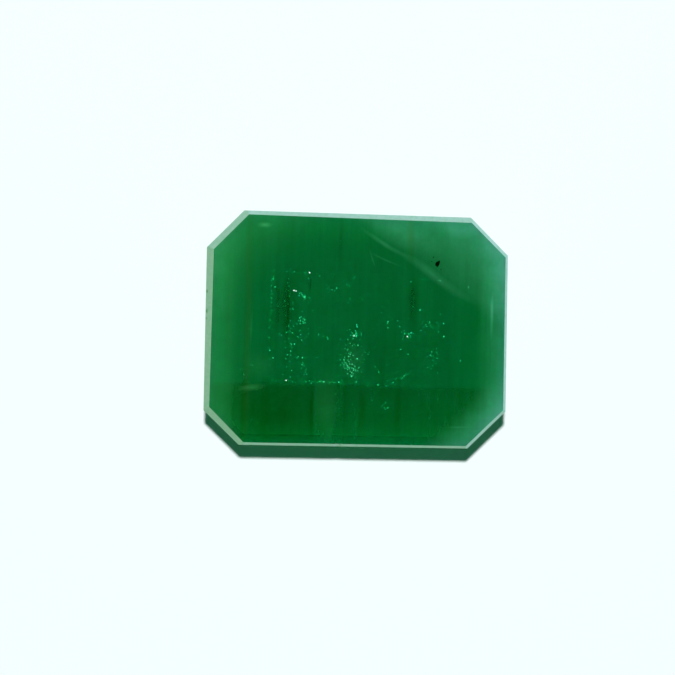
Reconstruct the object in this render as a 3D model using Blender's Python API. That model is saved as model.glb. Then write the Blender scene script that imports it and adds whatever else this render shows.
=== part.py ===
"""A cut emerald: one octagonal step-cut stone, table up, resting on its flat culet.

The stone is made the way it is cut. A flat blank is ground by one plane after another: the girdle walls, the
narrow crown bevels and then three steps of pavilion facets. So every facet is exactly flat. The blank's own
top is left as the table, and its underside as the culet. +X runs along the stone, +Y to its back, +Z up.
"""

import math
from collections import namedtuple

import bmesh
import bpy
from mathutils import Matrix, Vector

MM = 0.001

# Overall size
LENGTH = 12.0 * MM
WIDTH = 9.26 * MM
DEPTH = 4.6 * MM

# Crown: one narrow bevel between the table and the girdle
CROWN_ANGLE = 38.0

# Girdle: upright walls, down to this height above the culet
GIRDLE_BOTTOM = 3.95 * MM

# Culet: the flat rectangle that the stone rests on, a little askew as the cutter left it
CULET_LENGTH = 6.84 * MM
CULET_WIDTH = 4.3 * MM
CULET_CORNER_CLEARANCE = 0.05 * MM

# Pavilion: height of each step's lower edge, and the share of the way in from girdle to culet left there
STEPS = ((2.85 * MM, 0.83), (1.35 * MM, 0.46), (0.0, 0.0))

# One row for each side of the octagon. Azimuth is the way the side faces, cut is the leg of a cut corner,
# and the skews, in degrees, are how far the bevel, the girdle wall and the culet's edge are off square.
Side = namedtuple("Side", "name azimuth cut bevel bevel_skew girdle_skew culet_skew")
SIDES = (
    Side("right", 0, None, 0.09 * MM, 0.35, 0.4, 0.0),
    Side("back_right", 45, 1.57 * MM, 0.12 * MM, 0.5, 0.45, 0.0),
    Side("back", 90, None, 0.18 * MM, -0.9, -0.55, -1.9),
    Side("back_left", 135, 1.41 * MM, 0.25 * MM, 1.0, 0.8, 0.0),
    Side("left", 180, None, 0.255 * MM, -0.45, 0.1, 0.0),
    Side("front_left", 225, 1.4 * MM, 0.21 * MM, 0.3, 1.8, 0.0),
    Side("front", 270, None, 0.096 * MM, 0.3, 0.35, 0.5),
    Side("front_right", 315, 1.49 * MM, 0.115 * MM, 0.05, 0.35, 0.0),
)

# A small chip in the front edge of the girdle
CHIP_X = -0.64 * MM
CHIP_RADIUS = 0.34 * MM
CHIP_BITE = 0.07 * MM

BLANK_MARGIN = 1.0 * MM
ON_PLANE = 1e-8

EMERALD_COLOUR = (0.004, 0.13, 0.035, 1.0)
EMERALD_ROUGHNESS = 0.06
EMERALD_TRANSMISSION = 0.6
EMERALD_IOR = 1.577


def clear_objects():
    """Removes whatever the scene holds."""
    for old in list(bpy.data.objects):
        bpy.data.objects.remove(old, do_unlink=True)


def direction(degrees):
    """The level unit vector at this azimuth, counted from +X towards +Y."""
    angle = math.radians(degrees)
    return Vector((math.cos(angle), math.sin(angle), 0.0))


def reach(side, length, width, cut):
    """How far a side lies from the upright axis, in a rectangle of this length and width with cut corners."""
    if side.azimuth % 180 == 0:
        return length / 2
    if side.azimuth % 90 == 0:
        return width / 2
    return (length / 2 + width / 2 - cut) * math.sqrt(0.5)


def girdle_reach(side):
    """Distance from the axis to the girdle wall."""
    return reach(side, LENGTH, WIDTH, side.cut)


def culet_reach(side):
    """Distance from the axis to the culet's edge, or to just outside its corner."""
    corner = side.cut is not None
    outside = CULET_CORNER_CLEARANCE if corner else 0.0
    return reach(side, CULET_LENGTH, CULET_WIDTH, 0.0) + outside


def emerald_material():
    """Polished green beryl, see-through but full of inclusions."""
    material = bpy.data.materials.new("emerald")
    material.use_nodes = True
    shader = material.node_tree.nodes["Principled BSDF"]
    shader.inputs["Base Color"].default_value = EMERALD_COLOUR
    shader.inputs["Roughness"].default_value = EMERALD_ROUGHNESS
    shader.inputs["Metallic"].default_value = 0.0
    shader.inputs["Transmission Weight"].default_value = EMERALD_TRANSMISSION
    shader.inputs["IOR"].default_value = EMERALD_IOR
    return material


def blank():
    """The flat block that the stone is ground from, from the culet's plane up to the table's."""
    bm = bmesh.new()
    bmesh.ops.create_cube(bm, size=1.0)
    size = (LENGTH + BLANK_MARGIN, WIDTH + BLANK_MARGIN, DEPTH)
    to_size = Matrix.Translation((0.0, 0.0, DEPTH / 2)) @ Matrix.Diagonal((*size, 1.0))
    bmesh.ops.transform(bm, matrix=to_size, verts=bm.verts)
    return bm


def grind(bm, point, normal):
    """Takes off all that lies beyond a plane and closes the stone with one flat facet there."""
    everything = bm.verts[:] + bm.edges[:] + bm.faces[:]
    bmesh.ops.bisect_plane(
        bm, geom=everything, dist=ON_PLANE, plane_co=point, plane_no=normal, clear_outer=True
    )
    rim = [edge for edge in bm.edges if edge.is_boundary]
    if rim:
        bmesh.ops.edgeloop_fill(bm, edges=rim)


def sloping_facet(azimuth, outer, inner):
    """Point and outward normal of the plane through two (distance, height) places on one azimuth."""
    out = direction(azimuth)
    rise = inner[1] - outer[1]
    run = outer[0] - inner[0]
    normal = out * abs(rise) + Vector((0.0, 0.0, math.copysign(run, rise)))
    return out * outer[0] + Vector((0.0, 0.0, outer[1])), normal.normalized()


def grind_girdle(bm):
    """The eight upright walls."""
    for side in SIDES:
        square = direction(side.azimuth)
        grind(bm, square * girdle_reach(side), direction(side.azimuth + side.girdle_skew))


def grind_crown(bm):
    """The eight narrow bevels, each as wide as its own row says, all at the crown angle."""
    fall = math.tan(math.radians(CROWN_ANGLE))
    for side in SIDES:
        edge = girdle_reach(side)
        table_edge = (edge - side.bevel, DEPTH)
        wall_edge = (edge, DEPTH - side.bevel * fall)
        point, normal = sloping_facet(side.azimuth + side.bevel_skew, wall_edge, table_edge)
        grind(bm, point, normal)


def grind_pavilion(bm):
    """Three steps on each side, steep at the girdle and flatter towards the culet."""
    for side in SIDES:
        far = girdle_reach(side)
        near = culet_reach(side)
        upper = (far, GIRDLE_BOTTOM)
        for height, share in STEPS:
            lower = (near + (far - near) * share, height)
            skew = side.culet_skew + (side.girdle_skew - side.culet_skew) * share
            point, normal = sloping_facet(side.azimuth + skew, upper, lower)
            grind(bm, point, normal)
            upper = lower


def chip_cutter():
    """A rounded scoop over the front edge of the girdle."""
    front = next(side for side in SIDES if side.name == "front")
    bm = bmesh.new()
    bmesh.ops.create_icosphere(bm, subdivisions=2, radius=CHIP_RADIUS)
    mesh = bpy.data.meshes.new("chip_cutter")
    bm.to_mesh(mesh)
    bm.free()
    cutter = bpy.data.objects.new("chip_cutter", mesh)
    bpy.context.collection.objects.link(cutter)
    edge_height = DEPTH - front.bevel * math.tan(math.radians(CROWN_ANGLE))
    outward = (direction(front.azimuth) + Vector((0.0, 0.0, 1.0))).normalized()
    edge = Vector((CHIP_X, -girdle_reach(front), edge_height))
    cutter.location = edge + outward * (CHIP_RADIUS - CHIP_BITE)
    cutter.hide_render = True
    cutter.display_type = "WIRE"
    return cutter


def emerald():
    """The whole stone: ground by its planes, then chipped."""
    bm = blank()
    grind_girdle(bm)
    grind_crown(bm)
    grind_pavilion(bm)
    bmesh.ops.recalc_face_normals(bm, faces=bm.faces)
    mesh = bpy.data.meshes.new("emerald")
    bm.to_mesh(mesh)
    bm.free()
    mesh.materials.append(emerald_material())
    stone = bpy.data.objects.new("emerald", mesh)
    bpy.context.collection.objects.link(stone)
    chip = stone.modifiers.new("chip", "BOOLEAN")
    chip.operation = "DIFFERENCE"
    chip.solver = "EXACT"
    chip.object = chip_cutter()
    return stone


clear_objects()
emerald()
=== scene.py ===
"""The looks of a cut emerald: its cloudy green body, frosted crown bevels, flecks, and a plain stage.

The file is laid out as an add-on. Run as a script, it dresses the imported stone, which lies table up with +X along
its length and +Y to its back, and sets up the light and the camera that look straight down on it.
"""

import math
from collections import namedtuple

import bpy
import numpy as np
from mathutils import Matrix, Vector


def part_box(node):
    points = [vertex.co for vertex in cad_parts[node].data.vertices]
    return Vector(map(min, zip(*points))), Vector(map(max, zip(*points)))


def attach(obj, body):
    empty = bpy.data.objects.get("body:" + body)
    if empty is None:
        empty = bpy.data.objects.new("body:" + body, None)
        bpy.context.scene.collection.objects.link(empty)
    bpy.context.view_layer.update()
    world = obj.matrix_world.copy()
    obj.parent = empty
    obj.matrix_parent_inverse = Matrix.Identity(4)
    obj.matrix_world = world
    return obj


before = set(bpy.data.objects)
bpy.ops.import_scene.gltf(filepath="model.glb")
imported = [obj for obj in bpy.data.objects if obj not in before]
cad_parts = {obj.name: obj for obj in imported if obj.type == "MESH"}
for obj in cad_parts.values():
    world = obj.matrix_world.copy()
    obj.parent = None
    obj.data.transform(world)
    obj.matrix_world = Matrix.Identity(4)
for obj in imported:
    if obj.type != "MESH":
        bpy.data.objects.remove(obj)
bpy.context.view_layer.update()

bl_info = {
    "name": "Cut Emerald",
    "version": (1, 0, 0),
    "blender": (4, 5, 0),
    "location": "3D View > Sidebar > Cut Emerald",
    "description": "Dresses an octagonal step-cut emerald and sets up its stage",
    "category": "Object",
}

MM = 0.001
NODE = "emerald"
BODY = "root"

STONE_LOW, STONE_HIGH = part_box(NODE)
TABLE_HEIGHT = STONE_HIGH.z

# The photograph's frame, in pixels
FRAME_SIZE = 675
STONE_MIDDLE = (355.91, 330.3)
PIXELS_PER_MM = 25.14
SENSOR_WIDTH_MM = 36.0

# How fast the surroundings darken above and below the horizon
HORIZON_FALL = 11.0


class StageSettings(bpy.types.PropertyGroup):
    paper_colour: bpy.props.FloatVectorProperty(
        name="Paper", description="Colour of the plain pale floor",
        subtype="COLOR", size=3, min=0.0, max=1.0, default=(0.80, 0.88, 0.885),
    )
    paper_size: bpy.props.FloatProperty(
        name="Paper size", description="Length of the floor's sides",
        unit="LENGTH", default=1.2,
    )
    paper_drop: bpy.props.FloatProperty(
        name="Paper drop", description="Gap between the culet and the floor, so that their faces don't coincide",
        unit="LENGTH", default=0.015 * MM,
    )
    key_distance: bpy.props.FloatProperty(
        name="Key distance", description="From the stone to the small lamp above it",
        unit="LENGTH", default=0.45,
    )
    key_size: bpy.props.FloatProperty(
        name="Key size", description="Width of the lamp, which sets how soft the shadow's edge is",
        unit="LENGTH", default=0.015,
    )
    key_lean: bpy.props.FloatProperty(
        name="Key lean", description="How far behind the vertical the lamp stands",
        subtype="ANGLE", default=math.radians(7.07),
    )
    key_power: bpy.props.FloatProperty(
        name="Key power", description="The lamp's output",
        unit="POWER", default=2.3,
    )
    horizon_light: bpy.props.FloatProperty(
        name="Horizon light", description="Brightness of the surroundings at the horizon; overhead they are dark",
        min=0.0, default=0.8,
    )
    camera_height: bpy.props.FloatProperty(
        name="Camera height", description="From the table facet up to the camera",
        unit="LENGTH", default=0.25,
    )
    camera_roll: bpy.props.FloatProperty(
        name="Camera roll", description="Turn of the camera about its own line of sight",
        subtype="ANGLE", default=math.radians(1.3),
    )


class StoneSettings(bpy.types.PropertyGroup):
    body_colour: bpy.props.FloatVectorProperty(
        name="Body", description="Colour of the clear green in the middle",
        subtype="COLOR", size=3, min=0.0, max=1.0, default=(0.0008, 0.345, 0.100),
    )
    deep_colour: bpy.props.FloatVectorProperty(
        name="Deep bands", description="Colour of the darkest growth bands",
        subtype="COLOR", size=3, min=0.0, max=1.0, default=(0.0, 0.16, 0.012),
    )
    brown_colour: bpy.props.FloatVectorProperty(
        name="Brown seams", description="Colour of the thin stained seams",
        subtype="COLOR", size=3, min=0.0, max=1.0, default=(0.08, 0.28, 0.05),
    )
    left_cloud_colour: bpy.props.FloatVectorProperty(
        name="Left cloud", description="Colour of the milky cloud at the left end",
        subtype="COLOR", size=3, min=0.0, max=1.0, default=(0.13, 0.62, 0.26),
    )
    right_cloud_colour: bpy.props.FloatVectorProperty(
        name="Right cloud", description="Colour of the milky cloud at the right end, a little bluer",
        subtype="COLOR", size=3, min=0.0, max=1.0, default=(0.14, 0.62, 0.40),
    )
    # Both frost colours are painted light and shade: the bevels are painted darker where they face the front left
    # and paler where they face the back right.
    frost_shaded_side_colour: bpy.props.FloatVectorProperty(
        name="Dark frost", description="Colour of the ground crown bevels at the front left",
        subtype="COLOR", size=3, min=0.0, max=1.0, default=(0.22, 0.43, 0.26),
    )
    frost_lit_side_colour: bpy.props.FloatVectorProperty(
        name="Pale frost", description="Colour of the ground crown bevels at the back right",
        subtype="COLOR", size=3, min=0.0, max=1.0, default=(0.355, 0.62, 0.58),
    )
    clear_share: bpy.props.FloatProperty(
        name="Clear share", description="Share of the light that goes through the clear parts",
        subtype="FACTOR", min=0.0, max=1.0, default=0.75,
    )
    cloudy_share: bpy.props.FloatProperty(
        name="Cloudy share", description="Share of the light that goes through the milky parts",
        subtype="FACTOR", min=0.0, max=1.0, default=0.5,
    )
    ior: bpy.props.FloatProperty(
        name="IOR", description="Refractive index of beryl",
        min=1.0, max=2.0, default=1.577,
    )
    polish: bpy.props.FloatProperty(
        name="Polish", description="Roughness of the polished facets",
        subtype="FACTOR", min=0.0, max=1.0, default=0.025,
    )
    ground: bpy.props.FloatProperty(
        name="Ground", description="Roughness of the ground crown bevels",
        subtype="FACTOR", min=0.0, max=1.0, default=0.5,
    )
    scatter_depth: bpy.props.FloatProperty(
        name="Scatter depth", description="How far light wanders in the cloudy body",
        unit="LENGTH", default=9.0 * MM,
    )
    shadow_tint: bpy.props.FloatVectorProperty(
        name="Shadow tint", description="Colour that the lamp's light takes on at each face it passes",
        subtype="COLOR", size=3, min=0.0, max=1.0, default=(0.08, 0.245, 0.18),
    )
    absorption_colour: bpy.props.FloatVectorProperty(
        name="Absorption", description="Colour that light takes on along its way through the stone",
        subtype="COLOR", size=3, min=0.0, max=1.0, default=(0.05, 0.75, 0.45),
    )
    absorption_density: bpy.props.FloatProperty(
        name="Absorption density", description="Strength of the absorption, per metre",
        min=0.0, default=600.0,
    )


# The flecks and the dust glow by emission: painted glints that stand for the lamp's light thrown back by the
# inclusions.
class FleckSettings(bpy.types.PropertyGroup):
    painted_glint_tint: bpy.props.FloatVectorProperty(
        name="Glint", description="Colour of the light that the flecks throw back",
        subtype="COLOR", size=3, min=0.0, max=1.0, default=(0.70, 0.90, 0.85),
    )
    bright_painted_glow: bpy.props.FloatProperty(
        name="Bright glint", description="Brightness of the few flecks that face the lamp",
        min=0.0, default=1.6,
    )
    plain_painted_glow: bpy.props.FloatProperty(
        name="Plain glint", description="Brightness of the other large flecks",
        min=0.0, default=1.8,
    )
    dust_painted_glow: bpy.props.FloatProperty(
        name="Dust glint", description="Brightness of the fine dust along the culet's edges and in the body",
        min=0.0, default=2.2,
    )
    thickness: bpy.props.FloatProperty(
        name="Fleck thickness", description="Height of a fleck as a share of its radius",
        subtype="FACTOR", min=0.0, max=2.0, default=0.25,
    )
    fleck_scale: bpy.props.FloatProperty(
        name="Fleck scale", description="Size of the listed flecks, as a share of their own radii",
        subtype="FACTOR", min=0.0, max=2.0, default=0.85,
    )
    seed: bpy.props.IntProperty(
        name="Seed", description="Start of the random scatter of the dust", default=11,
    )
    speck_length: bpy.props.FloatProperty(
        name="Speck length", description="Length of the black crystal that reaches the table",
        unit="LENGTH", default=0.30 * MM,
    )
    speck_colour: bpy.props.FloatVectorProperty(
        name="Speck", description="Colour of the black crystal",
        subtype="COLOR", size=3, min=0.0, max=1.0, default=(0.001, 0.012, 0.004),
    )


# Milk in the crystal thickens towards these sides. Azimuth is the way that the haze lies from the middle. It
# starts and is full at these distances, in millimetres.
Haze = namedtuple("Haze", "azimuth start full strength")
HAZES = (
    Haze(180, 4.2, 5.7, 0.25),
    Haze(135, 3.6, 6.4, 0.20),
    Haze(90, 3.3, 4.5, 0.05),
    Haze(56, 3.3, 4.0, 0.12),
    Haze(50, 3.6, 6.2, 0.36),
    Haze(0, 4.6, 5.9, 0.30),
    Haze(315, 4.9, 6.3, 0.42),
)

# Streaks are soft ellipses, upright through the whole stone: middle, half length and half width in millimetres,
# and the way that their length runs, in degrees from +X. Growth bands run along Y.
Streak = namedtuple("Streak", "x y turn length width strength")
ACROSS = 90
DEEP_STREAKS = (
    Streak(-3.14, 1.6, ACROSS, 3.2, 0.15, 0.30),
    Streak(-2.72, 0.7, ACROSS, 1.9, 0.08, 0.55),
    Streak(-2.85, 0.95, ACROSS, 1.4, 0.55, 0.50),
    Streak(-1.88, 1.80, ACROSS, 0.45, 0.07, 0.60),
    Streak(-0.68, 3.50, ACROSS, 1.5, 0.13, 0.30),
    Streak(2.20, 1.15, ACROSS, 1.3, 0.30, 0.45),
    Streak(-2.70, -3.50, ACROSS, 2.1, 1.4, 0.45),
    Streak(-1.68, -3.30, ACROSS, 1.6, 0.10, 0.45),
    Streak(-0.42, -3.20, ACROSS, 1.6, 0.08, 0.40),
    Streak(0.28, -3.10, ACROSS, 1.6, 0.18, 0.50),
    Streak(1.75, -3.30, ACROSS, 1.5, 0.25, 0.30),
    Streak(-4.45, -2.60, ACROSS, 2.4, 0.18, 0.35),
    Streak(-4.20, -3.30, ACROSS, 2.3, 1.1, 0.40),
    Streak(0.90, -1.10, ACROSS, 1.6, 1.0, 0.20),
)
BROWN_STREAKS = (
    Streak(-4.32, 0.40, ACROSS, 6.5, 0.20, 0.32),
    Streak(-5.05, 0.20, ACROSS, 3.0, 0.16, 0.15),
    Streak(2.12, 3.75, ACROSS, 1.2, 0.22, 0.32),
)
MILK_STREAKS = (
    Streak(1.60, 4.00, -25, 2.0, 0.65, 0.22),
    Streak(1.05, 3.48, -29, 1.2, 0.12, 0.28),
    Streak(3.10, 2.20, -34, 2.0, 0.24, 0.28),
    Streak(0.60, 2.90, -72, 0.45, 0.05, 0.22),
    Streak(1.12, 2.85, -25, 0.75, 0.06, 0.22),
    Streak(4.10, 4.05, 0, 0.80, 0.35, 0.20),
    Streak(5.40, 0.70, ACROSS, 1.05, 0.09, 0.35),
    Streak(-1.15, -3.00, ACROSS, 1.7, 0.55, 0.16),
    Streak(-3.80, -1.45, 0, 0.75, 0.70, 0.13),
    Streak(-4.17, 0.05, ACROSS, 0.80, 0.06, 0.20),
    Streak(-0.15, -1.20, ACROSS, 1.1, 0.50, 0.14),
    Streak(-4.14, -2.37, 8, 0.65, 0.16, 0.42),
    Streak(-3.73, 4.09, 0, 0.35, 0.13, 0.45),
    Streak(4.10, -3.73, 0, 0.70, 0.05, 0.16),
)
NICKS = (
    Streak(-5.96, 1.42, ACROSS, 0.09, 0.06, 0.90),
    Streak(-5.95, 0.63, ACROSS, 0.12, 0.05, 0.90),
    Streak(-5.96, 0.34, ACROSS, 0.06, 0.05, 0.70),
)

# Share of the deep bands that the side facets show. Past the culet's front edge the table is deeper in colour
SIDE_BANDS = 0.5
FRONT_ZONE = (2.10, 2.32)
FRONT_ZONE_SHADE = 0.42

# Flecks that show one by one, glowing as painted glints: place on the table and radius, in millimetres
BRIGHT_FLECKS = (
    (-1.90, 2.25, 0.034), (-2.50, 1.53, 0.030), (-2.41, 1.51, 0.030), (-2.73, -2.05, 0.026),
    (-0.07, -0.22, 0.026), (2.05, -0.20, 0.026),
)
PLAIN_FLECKS = (
    (-2.27, 1.42, 0.030), (-2.17, 1.36, 0.034), (-2.08, 1.27, 0.036), (-2.05, 0.37, 0.044),
    (-2.12, 0.30, 0.030), (-2.22, 0.22, 0.026), (-0.02, -0.02, 0.026), (-0.14, -0.12, 0.028),
    (0.02, -0.25, 0.030), (-0.20, -0.20, 0.026), (0.00, -0.12, 0.028), (-0.10, -0.32, 0.024),
    (0.22, -0.18, 0.026), (2.20, -0.05, 0.036), (1.82, -0.03, 0.026), (1.95, -0.10, 0.024),
    (2.10, -0.13, 0.026), (2.28, -0.07, 0.020), (3.50, -0.17, 0.042), (3.48, 0.35, 0.036),
    (3.20, 0.40, 0.024), (3.34, 0.72, 0.022), (2.78, 0.28, 0.030), (2.53, 0.87, 0.030),
    (1.27, 0.37, 0.034), (1.27, 0.13, 0.034), (0.08, -1.13, 0.046), (-0.45, -1.17, 0.038),
    (-0.25, -1.25, 0.026), (-0.30, -1.42, 0.030), (0.02, -1.62, 0.030), (-0.18, -1.78, 0.034),
    (-0.05, -1.72, 0.024), (0.06, -2.05, 0.024), (-0.63, -2.08, 0.036), (-3.27, -1.17, 0.036),
    (-3.40, -0.88, 0.032), (-3.33, 1.97, 0.032), (-3.40, 1.70, 0.032), (-3.10, 2.63, 0.020),
    (-2.92, 2.28, 0.026), (-2.80, 2.27, 0.022), (-2.50, 2.28, 0.024), (-1.80, -2.05, 0.032),
    (-1.35, -2.08, 0.030), (-1.22, -2.08, 0.030), (-2.57, -1.92, 0.026), (-2.10, -1.13, 0.030),
    (-2.27, -1.10, 0.026), (-2.43, -0.60, 0.036), (-2.52, -1.65, 0.022), (-1.98, -1.65, 0.020),
    (-1.52, -1.12, 0.026), (-1.13, -0.30, 0.034), (-1.45, 0.07, 0.026), (-1.12, -0.90, 0.022),
    (-2.68, 0.12, 0.024), (-2.65, 0.78, 0.020), (-0.80, 1.67, 0.034), (-0.98, 2.08, 0.022),
    (-0.10, 2.10, 0.030), (-0.28, 2.45, 0.026), (0.45, 1.47, 0.024), (2.15, 1.98, 0.030),
    (3.32, 2.05, 0.028), (4.43, 1.82, 0.028), (4.18, -1.12, 0.034), (2.10, -0.90, 0.030),
    (1.80, -0.72, 0.030), (0.93, -2.15, 0.036), (1.87, -1.88, 0.028), (1.50, -2.05, 0.022),
    (3.36, -1.86, 0.022), (1.20, -3.05, 0.026), (1.23, -3.12, 0.024), (-4.07, -3.65, 0.028),
    (-4.60, -0.45, 0.018), (0.95, -1.65, 0.024), (-0.30, 1.75, 0.022), (1.17, 1.67, 0.020),
)

# Dust scattered about straight lines in the table, in millimetres; like the flecks, it glows by emission as a
# painted glint
Dust = namedtuple("Dust", "x1 y1 x2 y2 spread count radius")
EDGE_DUST = (
    Dust(-3.43, 2.28, 0.15, 2.18, 0.010, 70, 0.017),
    Dust(0.15, 2.16, 2.36, 2.09, 0.020, 14, 0.014),
    Dust(2.36, 2.08, 3.40, 2.04, 0.010, 18, 0.016),
    Dust(-3.37, 2.20, -3.43, -1.20, 0.030, 34, 0.020),
    Dust(-3.43, -1.20, -3.42, -2.00, 0.060, 8, 0.016),
    Dust(-3.40, -2.06, 0.10, -2.12, 0.018, 40, 0.018),
    Dust(-1.45, -2.07, -1.10, -2.09, 0.015, 10, 0.022),
    Dust(0.10, -2.12, 3.40, -2.18, 0.030, 24, 0.014),
)
BODY_DUST = (
    Dust(-0.35, -0.50, -0.10, -1.95, 0.15, 42, 0.022),
    Dust(-0.42, -1.15, -0.30, -1.70, 0.07, 16, 0.022),
    Dust(-0.15, -1.75, 0.10, -1.50, 0.08, 14, 0.022),
    Dust(-0.10, -0.20, 0.05, -0.15, 0.12, 18, 0.020),
    Dust(1.85, -0.10, 2.20, -0.15, 0.10, 12, 0.018),
    Dust(-2.90, 1.60, -2.10, 0.00, 0.35, 44, 0.018),
    Dust(-2.80, -0.30, -2.00, -1.80, 0.35, 50, 0.018),
    Dust(-2.30, 0.25, -2.05, 0.35, 0.10, 14, 0.022),
    Dust(-2.30, 1.45, -2.00, 1.20, 0.05, 10, 0.024),
    Dust(-1.90, 1.95, 0.60, 1.40, 0.35, 40, 0.016),
    Dust(-1.70, -0.40, -0.60, -0.10, 0.20, 18, 0.016),
    Dust(1.00, 0.60, 3.50, 0.10, 0.30, 40, 0.016),
    Dust(3.00, -0.80, 3.20, -1.60, 0.14, 20, 0.017),
    Dust(0.30, -0.70, 1.20, -1.90, 0.35, 24, 0.016),
    Dust(1.40, -2.00, 2.15, -1.70, 0.05, 14, 0.018),
    Dust(1.10, -2.90, 1.30, -3.20, 0.10, 8, 0.020),
    Dust(-4.80, 3.00, 4.80, 3.60, 0.60, 40, 0.013),
    Dust(-4.60, -3.20, 4.60, -3.40, 0.40, 36, 0.013),
    Dust(-4.60, 2.00, -4.40, -2.50, 0.40, 24, 0.014),
)

# Depths as shares of the whole depth, from the table down
TABLE_FLECK_DEPTHS = (0.0, 0.0)
FLECK_DEPTHS = (0.04, 0.45)
BODY_DUST_DEPTHS = (0.05, 0.85)
EDGE_DUST_DEPTHS = (0.96, 0.975)
LARGE_FACET = 0.3 * MM ** 2
FLECK_SIDES = 6

# Black crystals: place on the table, share of the speck length, and the way their length runs, in degrees
BLACK_SPECKS = (
    (3.19, 2.72, 1.00, 62), (3.02, 2.98, 0.22, 20), (3.33, 2.50, 0.18, 80), (2.96, 2.80, 0.15, 0),
)
SPECK_SIDES = 14
SPECK_RINGS = 5
SPECK_SLIMNESS = 0.62
SPECK_PROUD = 0.003 * MM

# So long in millimetres that a pattern doesn't change with height
UPRIGHT = 1e6


class Graph:
    """Adds shader nodes by plain calls. Each value is a number, a colour or another node's output."""

    def __init__(self, tree):
        self.tree = tree

    def node(self, kind, **settings):
        added = self.tree.nodes.new(kind)
        for name, value in settings.items():
            setattr(added, name, value)
        return added

    def feed(self, socket, value):
        if isinstance(value, bpy.types.NodeSocket):
            self.tree.links.new(value, socket)
        else:
            socket.default_value = value

    def maths(self, operation, *values, clamp=False):
        added = self.node("ShaderNodeMath", operation=operation, use_clamp=clamp)
        for socket, value in zip(added.inputs, values):
            self.feed(socket, value)
        return added.outputs[0]

    def ramp(self, value, low, high):
        """0 at low and 1 at high, with a smooth S between them."""
        added = self.node("ShaderNodeMapRange", interpolation_type="SMOOTHSTEP", clamp=True)
        self.feed(added.inputs["Value"], value)
        self.feed(added.inputs["From Min"], low)
        self.feed(added.inputs["From Max"], high)
        return added.outputs[0]

    def mapped(self, vector, scale=(1.0, 1.0, 1.0), turn=0.0, offset=(0.0, 0.0, 0.0)):
        """The coordinates turned about Z and then scaled."""
        added = self.node("ShaderNodeMapping", vector_type="POINT")
        self.feed(added.inputs["Vector"], vector)
        added.inputs["Location"].default_value = offset
        added.inputs["Rotation"].default_value = (0.0, 0.0, math.radians(turn))
        added.inputs["Scale"].default_value = scale
        return added.outputs[0]

    def along(self, vector, azimuth):
        """Distance from the middle, the way that the azimuth points."""
        added = self.node("ShaderNodeVectorMath", operation="DOT_PRODUCT")
        self.feed(added.inputs[0], vector)
        turn = math.radians(azimuth)
        added.inputs[1].default_value = (math.cos(turn), math.sin(turn), 0.0)
        return added.outputs["Value"]

    def total(self, values, start=0.0):
        """The sum of several values."""
        for value in values:
            start = self.maths("ADD", start, value)
        return start

    def noise(self, vector, scale, detail=2.0, roughness=0.5, distortion=0.0):
        added = self.node("ShaderNodeTexNoise")
        self.feed(added.inputs["Vector"], vector)
        added.inputs["Scale"].default_value = scale
        added.inputs["Detail"].default_value = detail
        added.inputs["Roughness"].default_value = roughness
        added.inputs["Distortion"].default_value = distortion
        return added.outputs[0]

    def blend(self, factor, first, second, kind="MIX"):
        """A colour that goes from first to second as the factor rises."""
        added = self.node("ShaderNodeMix", data_type="RGBA", blend_type=kind)
        self.feed(added.inputs["Factor"], factor)
        self.feed(added.inputs["A"], first)
        self.feed(added.inputs["B"], second)
        return added.outputs["Result"]


def opaque(colour):
    """The colour with a fourth value of 1, as shader sockets take it."""
    return (*colour, 1.0)


def principled(name):
    """A new material, its graph and its Principled shader."""
    material = bpy.data.materials.new(name)
    material.use_nodes = True
    return material, Graph(material.node_tree), material.node_tree.nodes["Principled BSDF"]


def paper_material(settings):
    """Plain matt white paper."""
    material, _, shader = principled("paper")
    shader.inputs["Base Color"].default_value = opaque(settings.paper_colour)
    shader.inputs["Roughness"].default_value = 0.9
    shader.inputs["Specular IOR Level"].default_value = 0.0
    return material


def streak_shade(graph, place, streak):
    """An upright soft ellipse: its strength in the middle, falling evenly to nothing at its rim."""
    frame_of_streak = graph.node("ShaderNodeMapping", vector_type="TEXTURE")
    graph.feed(frame_of_streak.inputs["Vector"], place)
    frame_of_streak.inputs["Location"].default_value = (streak.x, streak.y, 0.0)
    frame_of_streak.inputs["Rotation"].default_value = (0.0, 0.0, math.radians(streak.turn))
    frame_of_streak.inputs["Scale"].default_value = (streak.length, streak.width, UPRIGHT)
    ball = graph.node("ShaderNodeTexGradient", gradient_type="SPHERICAL")
    graph.feed(ball.inputs[0], frame_of_streak.outputs[0])
    return graph.maths("MULTIPLY", ball.outputs["Fac"], streak.strength)


def streaks_shade(graph, place, streaks):
    """All the streaks of one kind, added up."""
    return graph.total([streak_shade(graph, place, streak) for streak in streaks])


def haze_shade(graph, place):
    """The milk that thickens towards the girdle, added up over its sides."""
    parts = []
    for haze in HAZES:
        rise = graph.ramp(graph.along(place, haze.azimuth), haze.start, haze.full)
        parts.append(graph.maths("MULTIPLY", rise, haze.strength))
    return graph.total(parts)


def around(graph, value, share):
    """A noise value, from 0 to 1, made into a factor that swings about 1 by this share."""
    return graph.maths("MULTIPLY_ADD", value, 2 * share, 1 - share)


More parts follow.
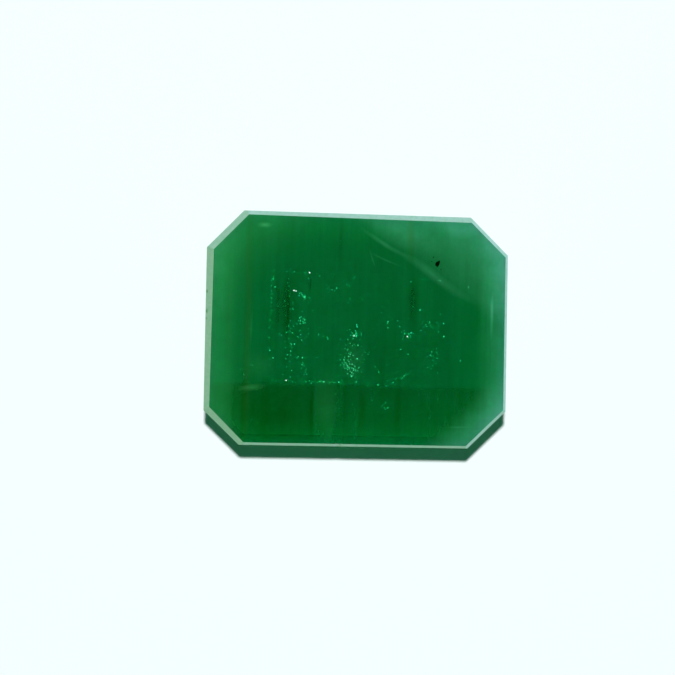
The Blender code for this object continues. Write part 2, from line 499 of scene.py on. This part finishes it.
def body_pattern(graph, place, up, settings):
    """Colour of the crystal and how milky it is, from upright growth bands, seams, wisps and haze."""
    wander = graph.node("ShaderNodeTexNoise")
    graph.feed(wander.inputs["Vector"], place)
    wander.inputs["Scale"].default_value = 0.6
    wander.inputs["Detail"].default_value = 0.0
    offset = graph.node("ShaderNodeVectorMath", operation="MULTIPLY_ADD")
    graph.feed(offset.inputs[0], wander.outputs["Color"])
    offset.inputs[1].default_value = (0.16, 0.16, 0.0)
    offset.inputs[2].default_value = (-0.08, -0.08, 0.0)
    shifted = graph.node("ShaderNodeVectorMath", operation="ADD")
    graph.feed(shifted.inputs[0], place)
    graph.feed(shifted.inputs[1], offset.outputs[0])
    bent = shifted.outputs[0]

    lines = graph.noise(graph.mapped(place, scale=(4.5, 0.16, 0.05)), 1.0, detail=3.0, roughness=0.6)
    blotches = graph.noise(graph.mapped(place, scale=(1.0, 0.8, 1.0), offset=(3.0, 1.0, 0.0)), 1.3, detail=4.0)
    grain = graph.noise(place, 7.0, detail=2.0)

    milk = graph.total([haze_shade(graph, bent), streaks_shade(graph, bent, MILK_STREAKS)])
    milk = graph.maths("MULTIPLY", milk, around(graph, blotches, 0.35))
    milk = graph.total([milk, graph.maths("MULTIPLY_ADD", lines, 0.08, -0.04)])
    milk = graph.total([milk, graph.maths("MULTIPLY_ADD", grain, 0.06, -0.03)])
    milk = graph.maths("MAXIMUM", milk, 0.0)
    milk = graph.maths("MINIMUM", milk, 1.0)

    deep = streaks_shade(graph, bent, DEEP_STREAKS)
    front = graph.ramp(graph.along(bent, 270), *FRONT_ZONE)
    front = graph.maths("MULTIPLY", front, FRONT_ZONE_SHADE)
    shade = graph.maths("MULTIPLY_ADD", lines, -0.5, 0.32)
    deep = graph.total([deep, front, shade, graph.maths("MULTIPLY_ADD", blotches, -0.3, 0.15)])
    on_table = graph.maths("MULTIPLY_ADD", graph.ramp(up, 0.9, 0.96), 1 - SIDE_BANDS, SIDE_BANDS)
    deep = graph.maths("MULTIPLY", deep, on_table, clamp=True)

    brown = graph.maths("MULTIPLY", streaks_shade(graph, bent, BROWN_STREAKS), around(graph, blotches, 0.6))

    end = graph.ramp(graph.along(place, 0), -2.0, 2.0)
    cloud = graph.blend(end, opaque(settings.left_cloud_colour), opaque(settings.right_cloud_colour))
    colour = graph.blend(deep, opaque(settings.body_colour), opaque(settings.deep_colour))
    colour = graph.blend(milk, colour, cloud)
    colour = graph.blend(brown, colour, opaque(settings.brown_colour))
    return colour, milk


def frost_pattern(graph, coordinates, place, settings):
    """Colour of the ground bevels, with fine grain and a few nicks, and painted light and shade: paler on the
    bevels that face the back right, darker on those that face the front left.
    """
    level = graph.node("ShaderNodeVectorMath", operation="MULTIPLY")
    graph.feed(level.inputs[0], coordinates.outputs["Normal"])
    level.inputs[1].default_value = (1.0, 1.0, 0.0)
    outward = graph.node("ShaderNodeVectorMath", operation="NORMALIZE")
    graph.feed(outward.inputs[0], level.outputs[0])
    # Painted light: the more a bevel faces the back right, the nearer its colour comes to the paler, lit frost
    # colour.
    lit_share = graph.maths("MULTIPLY_ADD", graph.along(outward.outputs[0], 30), 0.5, 0.5)
    colour = graph.blend(lit_share, opaque(settings.frost_shaded_side_colour), opaque(settings.frost_lit_side_colour))
    grain = graph.noise(place, 6.0, detail=4.0, roughness=0.65)
    colour = graph.blend(graph.maths("MULTIPLY_ADD", grain, 0.8, -0.3, clamp=True), colour,
                         opaque(settings.body_colour))
    nicks = streaks_shade(graph, place, NICKS)
    return graph.blend(nicks, colour, opaque(settings.deep_colour))


def stone_material(settings):
    """Green beryl: clear in the middle, milky near the girdle, ground to a frost on the crown bevels."""
    material, graph, shader = principled("emerald beryl")
    coordinates = graph.node("ShaderNodeTexCoord")
    place = graph.mapped(coordinates.outputs["Object"], scale=(1 / MM, 1 / MM, 1 / MM))
    normal = graph.node("ShaderNodeSeparateXYZ")
    graph.feed(normal.inputs[0], coordinates.outputs["Normal"])
    up = normal.outputs["Z"]
    frost = graph.maths("MULTIPLY", graph.ramp(up, 0.3, 0.5), graph.ramp(up, 0.96, 0.9))
    clear = graph.maths("SUBTRACT", 1.0, frost)

    body, milk = body_pattern(graph, place, up, settings)
    ground = frost_pattern(graph, coordinates, place, settings)
    graph.feed(shader.inputs["Base Color"], graph.blend(frost, body, ground))
    through = graph.maths("MULTIPLY_ADD", milk, settings.cloudy_share - settings.clear_share, settings.clear_share)
    graph.feed(shader.inputs["Transmission Weight"], graph.maths("MULTIPLY", clear, through))
    graph.feed(shader.inputs["Subsurface Weight"], clear)
    rough = graph.maths("MULTIPLY_ADD", frost, settings.ground - settings.polish, settings.polish)
    graph.feed(shader.inputs["Roughness"], rough)
    shader.inputs["IOR"].default_value = settings.ior
    shader.inputs["Subsurface Radius"].default_value = (0.3, 1.0, 0.5)
    shader.inputs["Subsurface Scale"].default_value = settings.scatter_depth

    absorption = graph.node("ShaderNodeVolumeAbsorption")
    absorption.inputs["Color"].default_value = opaque(settings.absorption_colour)
    absorption.inputs["Density"].default_value = settings.absorption_density
    path = graph.node("ShaderNodeLightPath")
    veil = graph.node("ShaderNodeBsdfTransparent")
    veil.inputs["Color"].default_value = opaque(settings.shadow_tint)
    mix = graph.node("ShaderNodeMixShader")
    graph.feed(mix.inputs[0], path.outputs["Is Shadow Ray"])
    graph.feed(mix.inputs[1], shader.outputs[0])
    graph.feed(mix.inputs[2], veil.outputs[0])
    output = material.node_tree.nodes["Material Output"]
    graph.feed(output.inputs["Surface"], mix.outputs[0])
    graph.feed(output.inputs["Volume"], absorption.outputs[0])
    return material


class EMERALD_OT_stone(bpy.types.Operator):
    """Give the cut stone its cloudy green beryl"""

    bl_idname = "emerald.stone"
    bl_label = "Stone"

    def execute(self, context):
        material = stone_material(context.scene.emerald_stone)
        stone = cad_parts[NODE]
        for slot in stone.material_slots:
            slot.material = material
        return {"FINISHED"}


def spindles(tips, rings):
    """Closed bodies, each a stack of rings between a lower and an upper tip, as joined vertices and triangles.

    Tips are an array of bodies x 2 x 3 and rings one of bodies x rings x sides x 3. Each ring's corners run
    counterclockwise seen from above. Neighbouring rings are joined by two triangles for each side, and the first
    and last rings by one triangle for each side to their own tip.
    """
    bodies, levels, sides = rings.shape[:3]
    vertices = np.concatenate([rings.reshape(bodies, -1, 3), tips], axis=1)
    corner = np.arange(sides)
    after = (corner + 1) % sides
    low_tip, high_tip = levels * sides, levels * sides + 1
    last = (levels - 1) * sides
    parts = [
        np.stack([after, corner, np.full(sides, low_tip)], axis=1),
        np.stack([last + corner, last + after, np.full(sides, high_tip)], axis=1),
    ]
    for level in range(levels - 1):
        low, high = level * sides, (level + 1) * sides
        parts.append(np.stack([low + corner, low + after, high + after], axis=1))
        parts.append(np.stack([low + corner, high + after, high + corner], axis=1))
    faces = np.concatenate(parts)
    starts = np.arange(bodies) * vertices.shape[1]
    faces = (faces[None] + starts[:, None, None]).reshape(-1, 3)
    return vertices.reshape(-1, 3), faces


def inner_piece(name, vertices, faces, material):
    """A piece of the stone's inside, from whole arrays."""
    mesh = bpy.data.meshes.new(name)
    mesh.from_pydata(vertices, [], faces.tolist())
    mesh.materials.append(material)
    piece = bpy.data.objects.new(name, mesh)
    bpy.context.collection.objects.link(piece)
    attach(piece, BODY)
    return piece


def sunk(spots, depths):
    """Where things at these depths lie that show at these spots of the table, seen by the overhead camera.

    The line of sight leans outwards from the point under the camera, and less so inside the stone, by the
    refractive index.
    """
    stage = bpy.context.scene.emerald_stage
    stone = bpy.context.scene.emerald_stone
    under_camera = np.array(camera_foot(stage)[:2])
    lean = (spots - under_camera) / (stage.camera_height * stone.ior)
    level = spots + lean * depths[:, None]
    return np.column_stack([level, TABLE_HEIGHT - depths])


def inside(spots, depths, room):
    """Which of the sunk spots lie behind every large facet of the stone by at least this room."""
    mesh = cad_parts[NODE].data
    count = len(mesh.polygons)
    normals, middles, areas = np.empty((count, 3)), np.empty((count, 3)), np.empty(count)
    mesh.polygons.foreach_get("normal", normals.ravel())
    mesh.polygons.foreach_get("center", middles.ravel())
    mesh.polygons.foreach_get("area", areas)
    large = areas > LARGE_FACET
    walls = np.einsum("ij,ij->i", normals[large], middles[large])
    return (sunk(spots, depths) @ normals[large].T < walls - room).all(axis=1)


def flecks(spots, radii, depths, settings, draw):
    """Flat six-sided double cones: a ring of six corners on a tilted ellipse, and a tip above and below."""
    count = len(spots)
    centres = sunk(spots, depths)
    turn = draw.uniform(0, math.pi, count)[:, None]
    stretch = draw.uniform(0.6, 1.0, count)[:, None]
    angle = np.arange(FLECK_SIDES) / FLECK_SIDES * 2 * math.pi
    along = np.cos(angle) * radii[:, None]
    across = np.sin(angle) * radii[:, None] * stretch
    ring = np.stack([
        along * np.cos(turn) - across * np.sin(turn),
        along * np.sin(turn) + across * np.cos(turn),
        along * draw.uniform(-0.4, 0.4, count)[:, None],
    ], axis=2)
    height = np.zeros((count, 2, 3))
    height[:, 0, 2] = -radii * settings.thickness
    height[:, 1, 2] = radii * settings.thickness
    return spindles(centres[:, None] + height, (centres[:, None] + ring)[:, None])


def scattered(rows, draw):
    """Spots and radii of dust that is spread about straight lines, by a normal law, as the rows say."""
    spots, radii = [], []
    for row in rows:
        way = draw.uniform(0, 1, row.count)[:, None]
        start, end = np.array([row.x1, row.y1]), np.array([row.x2, row.y2])
        spread = draw.normal(0, row.spread, (row.count, 2))
        spots.append(start + (end - start) * way + spread)
        radii.append(row.radius * draw.uniform(0.6, 1.3, row.count))
    return np.concatenate(spots) * MM, np.concatenate(radii) * MM


def painted_glow_material(name, settings, strength):
    """Pale flecks in the crystal that glow by emission, bright enough to show as the lamp's glints: painted glints.
    """
    material, _, shader = principled(name)
    shader.inputs["Base Color"].default_value = opaque(settings.painted_glint_tint)
    shader.inputs["Roughness"].default_value = 0.3
    # Painted glint: the fleck glows with its own light
    shader.inputs["Emission Color"].default_value = opaque(settings.painted_glint_tint)
    shader.inputs["Emission Strength"].default_value = strength
    material.cycles.emission_sampling = "NONE"
    return material


class EMERALD_OT_flecks(bpy.types.Operator):
    """Add the flecks and the dust inside the stone, which glow by emission as painted glints"""

    bl_idname = "emerald.flecks"
    bl_label = "Flecks"

    def execute(self, context):
        settings = context.scene.emerald_flecks
        draw = np.random.default_rng(settings.seed)
        depth = TABLE_HEIGHT - STONE_LOW.z
        for name, spots, reach, strength in (
            ("bright_glowing_flecks", BRIGHT_FLECKS, TABLE_FLECK_DEPTHS, settings.bright_painted_glow),
            ("plain_glowing_flecks", PLAIN_FLECKS, FLECK_DEPTHS, settings.plain_painted_glow),
        ):
            listed = np.array(spots) * MM
            depths = draw.uniform(*reach, len(spots)) * depth
            shape = flecks(listed[:, :2], listed[:, 2] * settings.fleck_scale, depths, settings, draw)
            inner_piece(name, *shape, painted_glow_material(name, settings, strength))
        for name, rows, depths in (
            ("culet_edge_glowing_dust", EDGE_DUST, EDGE_DUST_DEPTHS),
            ("body_glowing_dust", BODY_DUST, BODY_DUST_DEPTHS),
        ):
            spots, radii = scattered(rows, draw)
            depths = draw.uniform(*depths, len(spots)) * depth
            kept = inside(spots, depths, 2 * radii.max())
            shape = flecks(spots[kept], radii[kept], depths[kept], settings, draw)
            inner_piece(name, *shape, painted_glow_material(name, settings, settings.dust_painted_glow))
        return {"FINISHED"}


def speck_material(settings):
    """A matt black crystal, mottled by noise."""
    material, graph, shader = principled("black crystal")
    coordinates = graph.node("ShaderNodeTexCoord")
    place = graph.mapped(coordinates.outputs["Object"], scale=(1 / MM, 1 / MM, 1 / MM))
    mottle = graph.noise(place, 12.0, detail=2.0)
    colour = graph.blend(mottle, opaque(settings.speck_colour), (0.0, 0.0, 0.0, 1.0))
    graph.feed(shader.inputs["Base Color"], colour)
    shader.inputs["Roughness"].default_value = 0.9
    shader.inputs["Specular IOR Level"].default_value = 0.0
    return material


class EMERALD_OT_specks(bpy.types.Operator):
    """Add the black crystals that reach the table, ground flat with it"""

    bl_idname = "emerald.specks"
    bl_label = "Black specks"

    def execute(self, context):
        settings = context.scene.emerald_flecks
        rows = np.array(BLACK_SPECKS)
        spots, size, turn = rows[:, :2] * MM, rows[:, 2] * settings.speck_length / 2, np.radians(rows[:, 3])
        angle = np.arange(SPECK_SIDES) / SPECK_SIDES * 2 * math.pi
        climb = np.radians(np.linspace(-60, 60, SPECK_RINGS))
        out = np.cos(climb)[None, :, None] * size[:, None, None]
        lumps = 1 + 0.14 * np.cos(3 * angle + 0.7) + 0.07 * np.cos(5 * angle)
        along = out * np.cos(angle) * lumps
        across = out * np.sin(angle) * lumps * SPECK_SLIMNESS
        cosine, sine = np.cos(turn)[:, None, None], np.sin(turn)[:, None, None]
        rise = np.sin(climb)[None, :, None] * size[:, None, None] * np.ones(SPECK_SIDES)
        rings = np.stack([along * cosine - across * sine, along * sine + across * cosine, rise], axis=3)
        tips = np.zeros((len(rows), 2, 3))
        tips[:, 0, 2], tips[:, 1, 2] = -size, size
        centres = np.column_stack([spots, TABLE_HEIGHT - size * 0.3])
        rings += centres[:, None, None]
        tips += centres[:, None]
        vertices, faces = spindles(tips, rings)
        vertices[:, 2] = np.minimum(vertices[:, 2], TABLE_HEIGHT + SPECK_PROUD)
        inner_piece("black_specks", vertices, faces, speck_material(settings))
        return {"FINISHED"}


def floor_sheet(settings):
    """A flat square, corner by corner, with its face up."""
    half = settings.paper_size / 2
    corners = np.array([(-1, -1, 0), (1, -1, 0), (1, 1, 0), (-1, 1, 0)], float) * half
    corners[:, 2] = STONE_LOW.z - settings.paper_drop
    mesh = bpy.data.meshes.new("paper")
    mesh.from_pydata(corners, [], [(0, 1, 2, 3)])
    floor = bpy.data.objects.new("paper", mesh)
    floor.data.materials.append(paper_material(settings))
    bpy.context.collection.objects.link(floor)


def image_axes(settings):
    """The level directions that run right and up in the picture."""
    roll = settings.camera_roll
    right = Vector((math.cos(roll), math.sin(roll), 0.0))
    up = Vector((-math.sin(roll), math.cos(roll), 0.0))
    return right, up


def add_key(settings):
    """One small lamp above the stone, a little behind the vertical."""
    lamp = bpy.data.lights.new("key", "AREA")
    lamp.shape = "DISK"
    lamp.size = settings.key_size
    lamp.energy = settings.key_power
    key = bpy.data.objects.new("key", lamp)
    up = image_axes(settings)[1]
    towards = up * math.sin(settings.key_lean) + Vector((0.0, 0.0, math.cos(settings.key_lean)))
    key.location = towards * settings.key_distance
    key.rotation_euler = towards.to_track_quat("Z", "Y").to_euler()
    bpy.context.collection.objects.link(key)


def add_world(settings):
    """Surroundings that are pale at the horizon and dark overhead, falling with the height's sine."""
    world = bpy.data.worlds.new("surroundings")
    world.use_nodes = True
    graph = Graph(world.node_tree)
    coordinates = graph.node("ShaderNodeTexCoord")
    split = graph.node("ShaderNodeSeparateXYZ")
    graph.feed(split.inputs[0], coordinates.outputs["Generated"])
    down = graph.maths("SUBTRACT", 1.0, graph.maths("ABSOLUTE", split.outputs["Z"]))
    glow = graph.maths("POWER", down, HORIZON_FALL)
    background = world.node_tree.nodes["Background"]
    graph.feed(background.inputs["Strength"], graph.maths("MULTIPLY", glow, settings.horizon_light))
    background.inputs["Color"].default_value = (0.95, 1.0, 1.0, 1.0)
    bpy.context.scene.world = world


def camera_foot(settings):
    """The point under the camera, so that the stone's middle comes at its own pixel."""
    right, up = image_axes(settings)
    across = (STONE_MIDDLE[0] - FRAME_SIZE / 2) / PIXELS_PER_MM * MM
    above = (FRAME_SIZE / 2 - STONE_MIDDLE[1]) / PIXELS_PER_MM * MM
    return -right * across - up * above


def add_camera(settings):
    """Straight overhead, with the table at the photograph's scale."""
    lens = bpy.data.cameras.new("camera")
    lens.sensor_width = SENSOR_WIDTH_MM
    lens.lens = settings.camera_height / MM * PIXELS_PER_MM * SENSOR_WIDTH_MM / FRAME_SIZE
    camera = bpy.data.objects.new("camera", lens)
    camera.location = camera_foot(settings) + Vector((0.0, 0.0, TABLE_HEIGHT + settings.camera_height))
    camera.rotation_euler = (0.0, 0.0, settings.camera_roll)
    bpy.context.collection.objects.link(camera)
    bpy.context.scene.camera = camera


class EMERALD_OT_stage(bpy.types.Operator):
    """Add the paper, the lamp, the surroundings and the overhead camera"""

    bl_idname = "emerald.stage"
    bl_label = "Stage"

    def execute(self, context):
        settings = context.scene.emerald_stage
        floor_sheet(settings)
        add_key(settings)
        add_world(settings)
        add_camera(settings)
        context.scene.view_settings.view_transform = "Standard"
        return {"FINISHED"}


class EMERALD_PT_panel(bpy.types.Panel):
    bl_idname = "EMERALD_PT_panel"
    bl_label = "Cut Emerald"
    bl_space_type = "VIEW_3D"
    bl_region_type = "UI"
    bl_category = "Cut Emerald"

    def draw(self, context):
        for operator, group in OPERATORS:
            box = self.layout.box()
            box.operator(operator.bl_idname)
            settings = getattr(context.scene, group)
            for name in settings.bl_rna.properties.keys():
                if name not in ("rna_type", "name"):
                    box.prop(settings, name)


OPERATORS = (
    (EMERALD_OT_stage, "emerald_stage"),
    (EMERALD_OT_stone, "emerald_stone"),
    (EMERALD_OT_flecks, "emerald_flecks"),
    (EMERALD_OT_specks, "emerald_flecks"),
)
GROUPS = (
    (StageSettings, "emerald_stage"),
    (StoneSettings, "emerald_stone"),
    (FleckSettings, "emerald_flecks"),
)


def register():
    for group, name in GROUPS:
        bpy.utils.register_class(group)
        setattr(bpy.types.Scene, name, bpy.props.PointerProperty(type=group))
    for operator, _ in OPERATORS:
        bpy.utils.register_class(operator)
    bpy.utils.register_class(EMERALD_PT_panel)


def unregister():
    bpy.utils.unregister_class(EMERALD_PT_panel)
    for operator, _ in reversed(OPERATORS):
        bpy.utils.unregister_class(operator)
    for group, name in reversed(GROUPS):
        delattr(bpy.types.Scene, name)
        bpy.utils.unregister_class(group)


def main():
    register()
    bpy.ops.emerald.stage()
    bpy.ops.emerald.stone()
    bpy.ops.emerald.flecks()
    bpy.ops.emerald.specks()


if __name__ == "__main__":
    main()
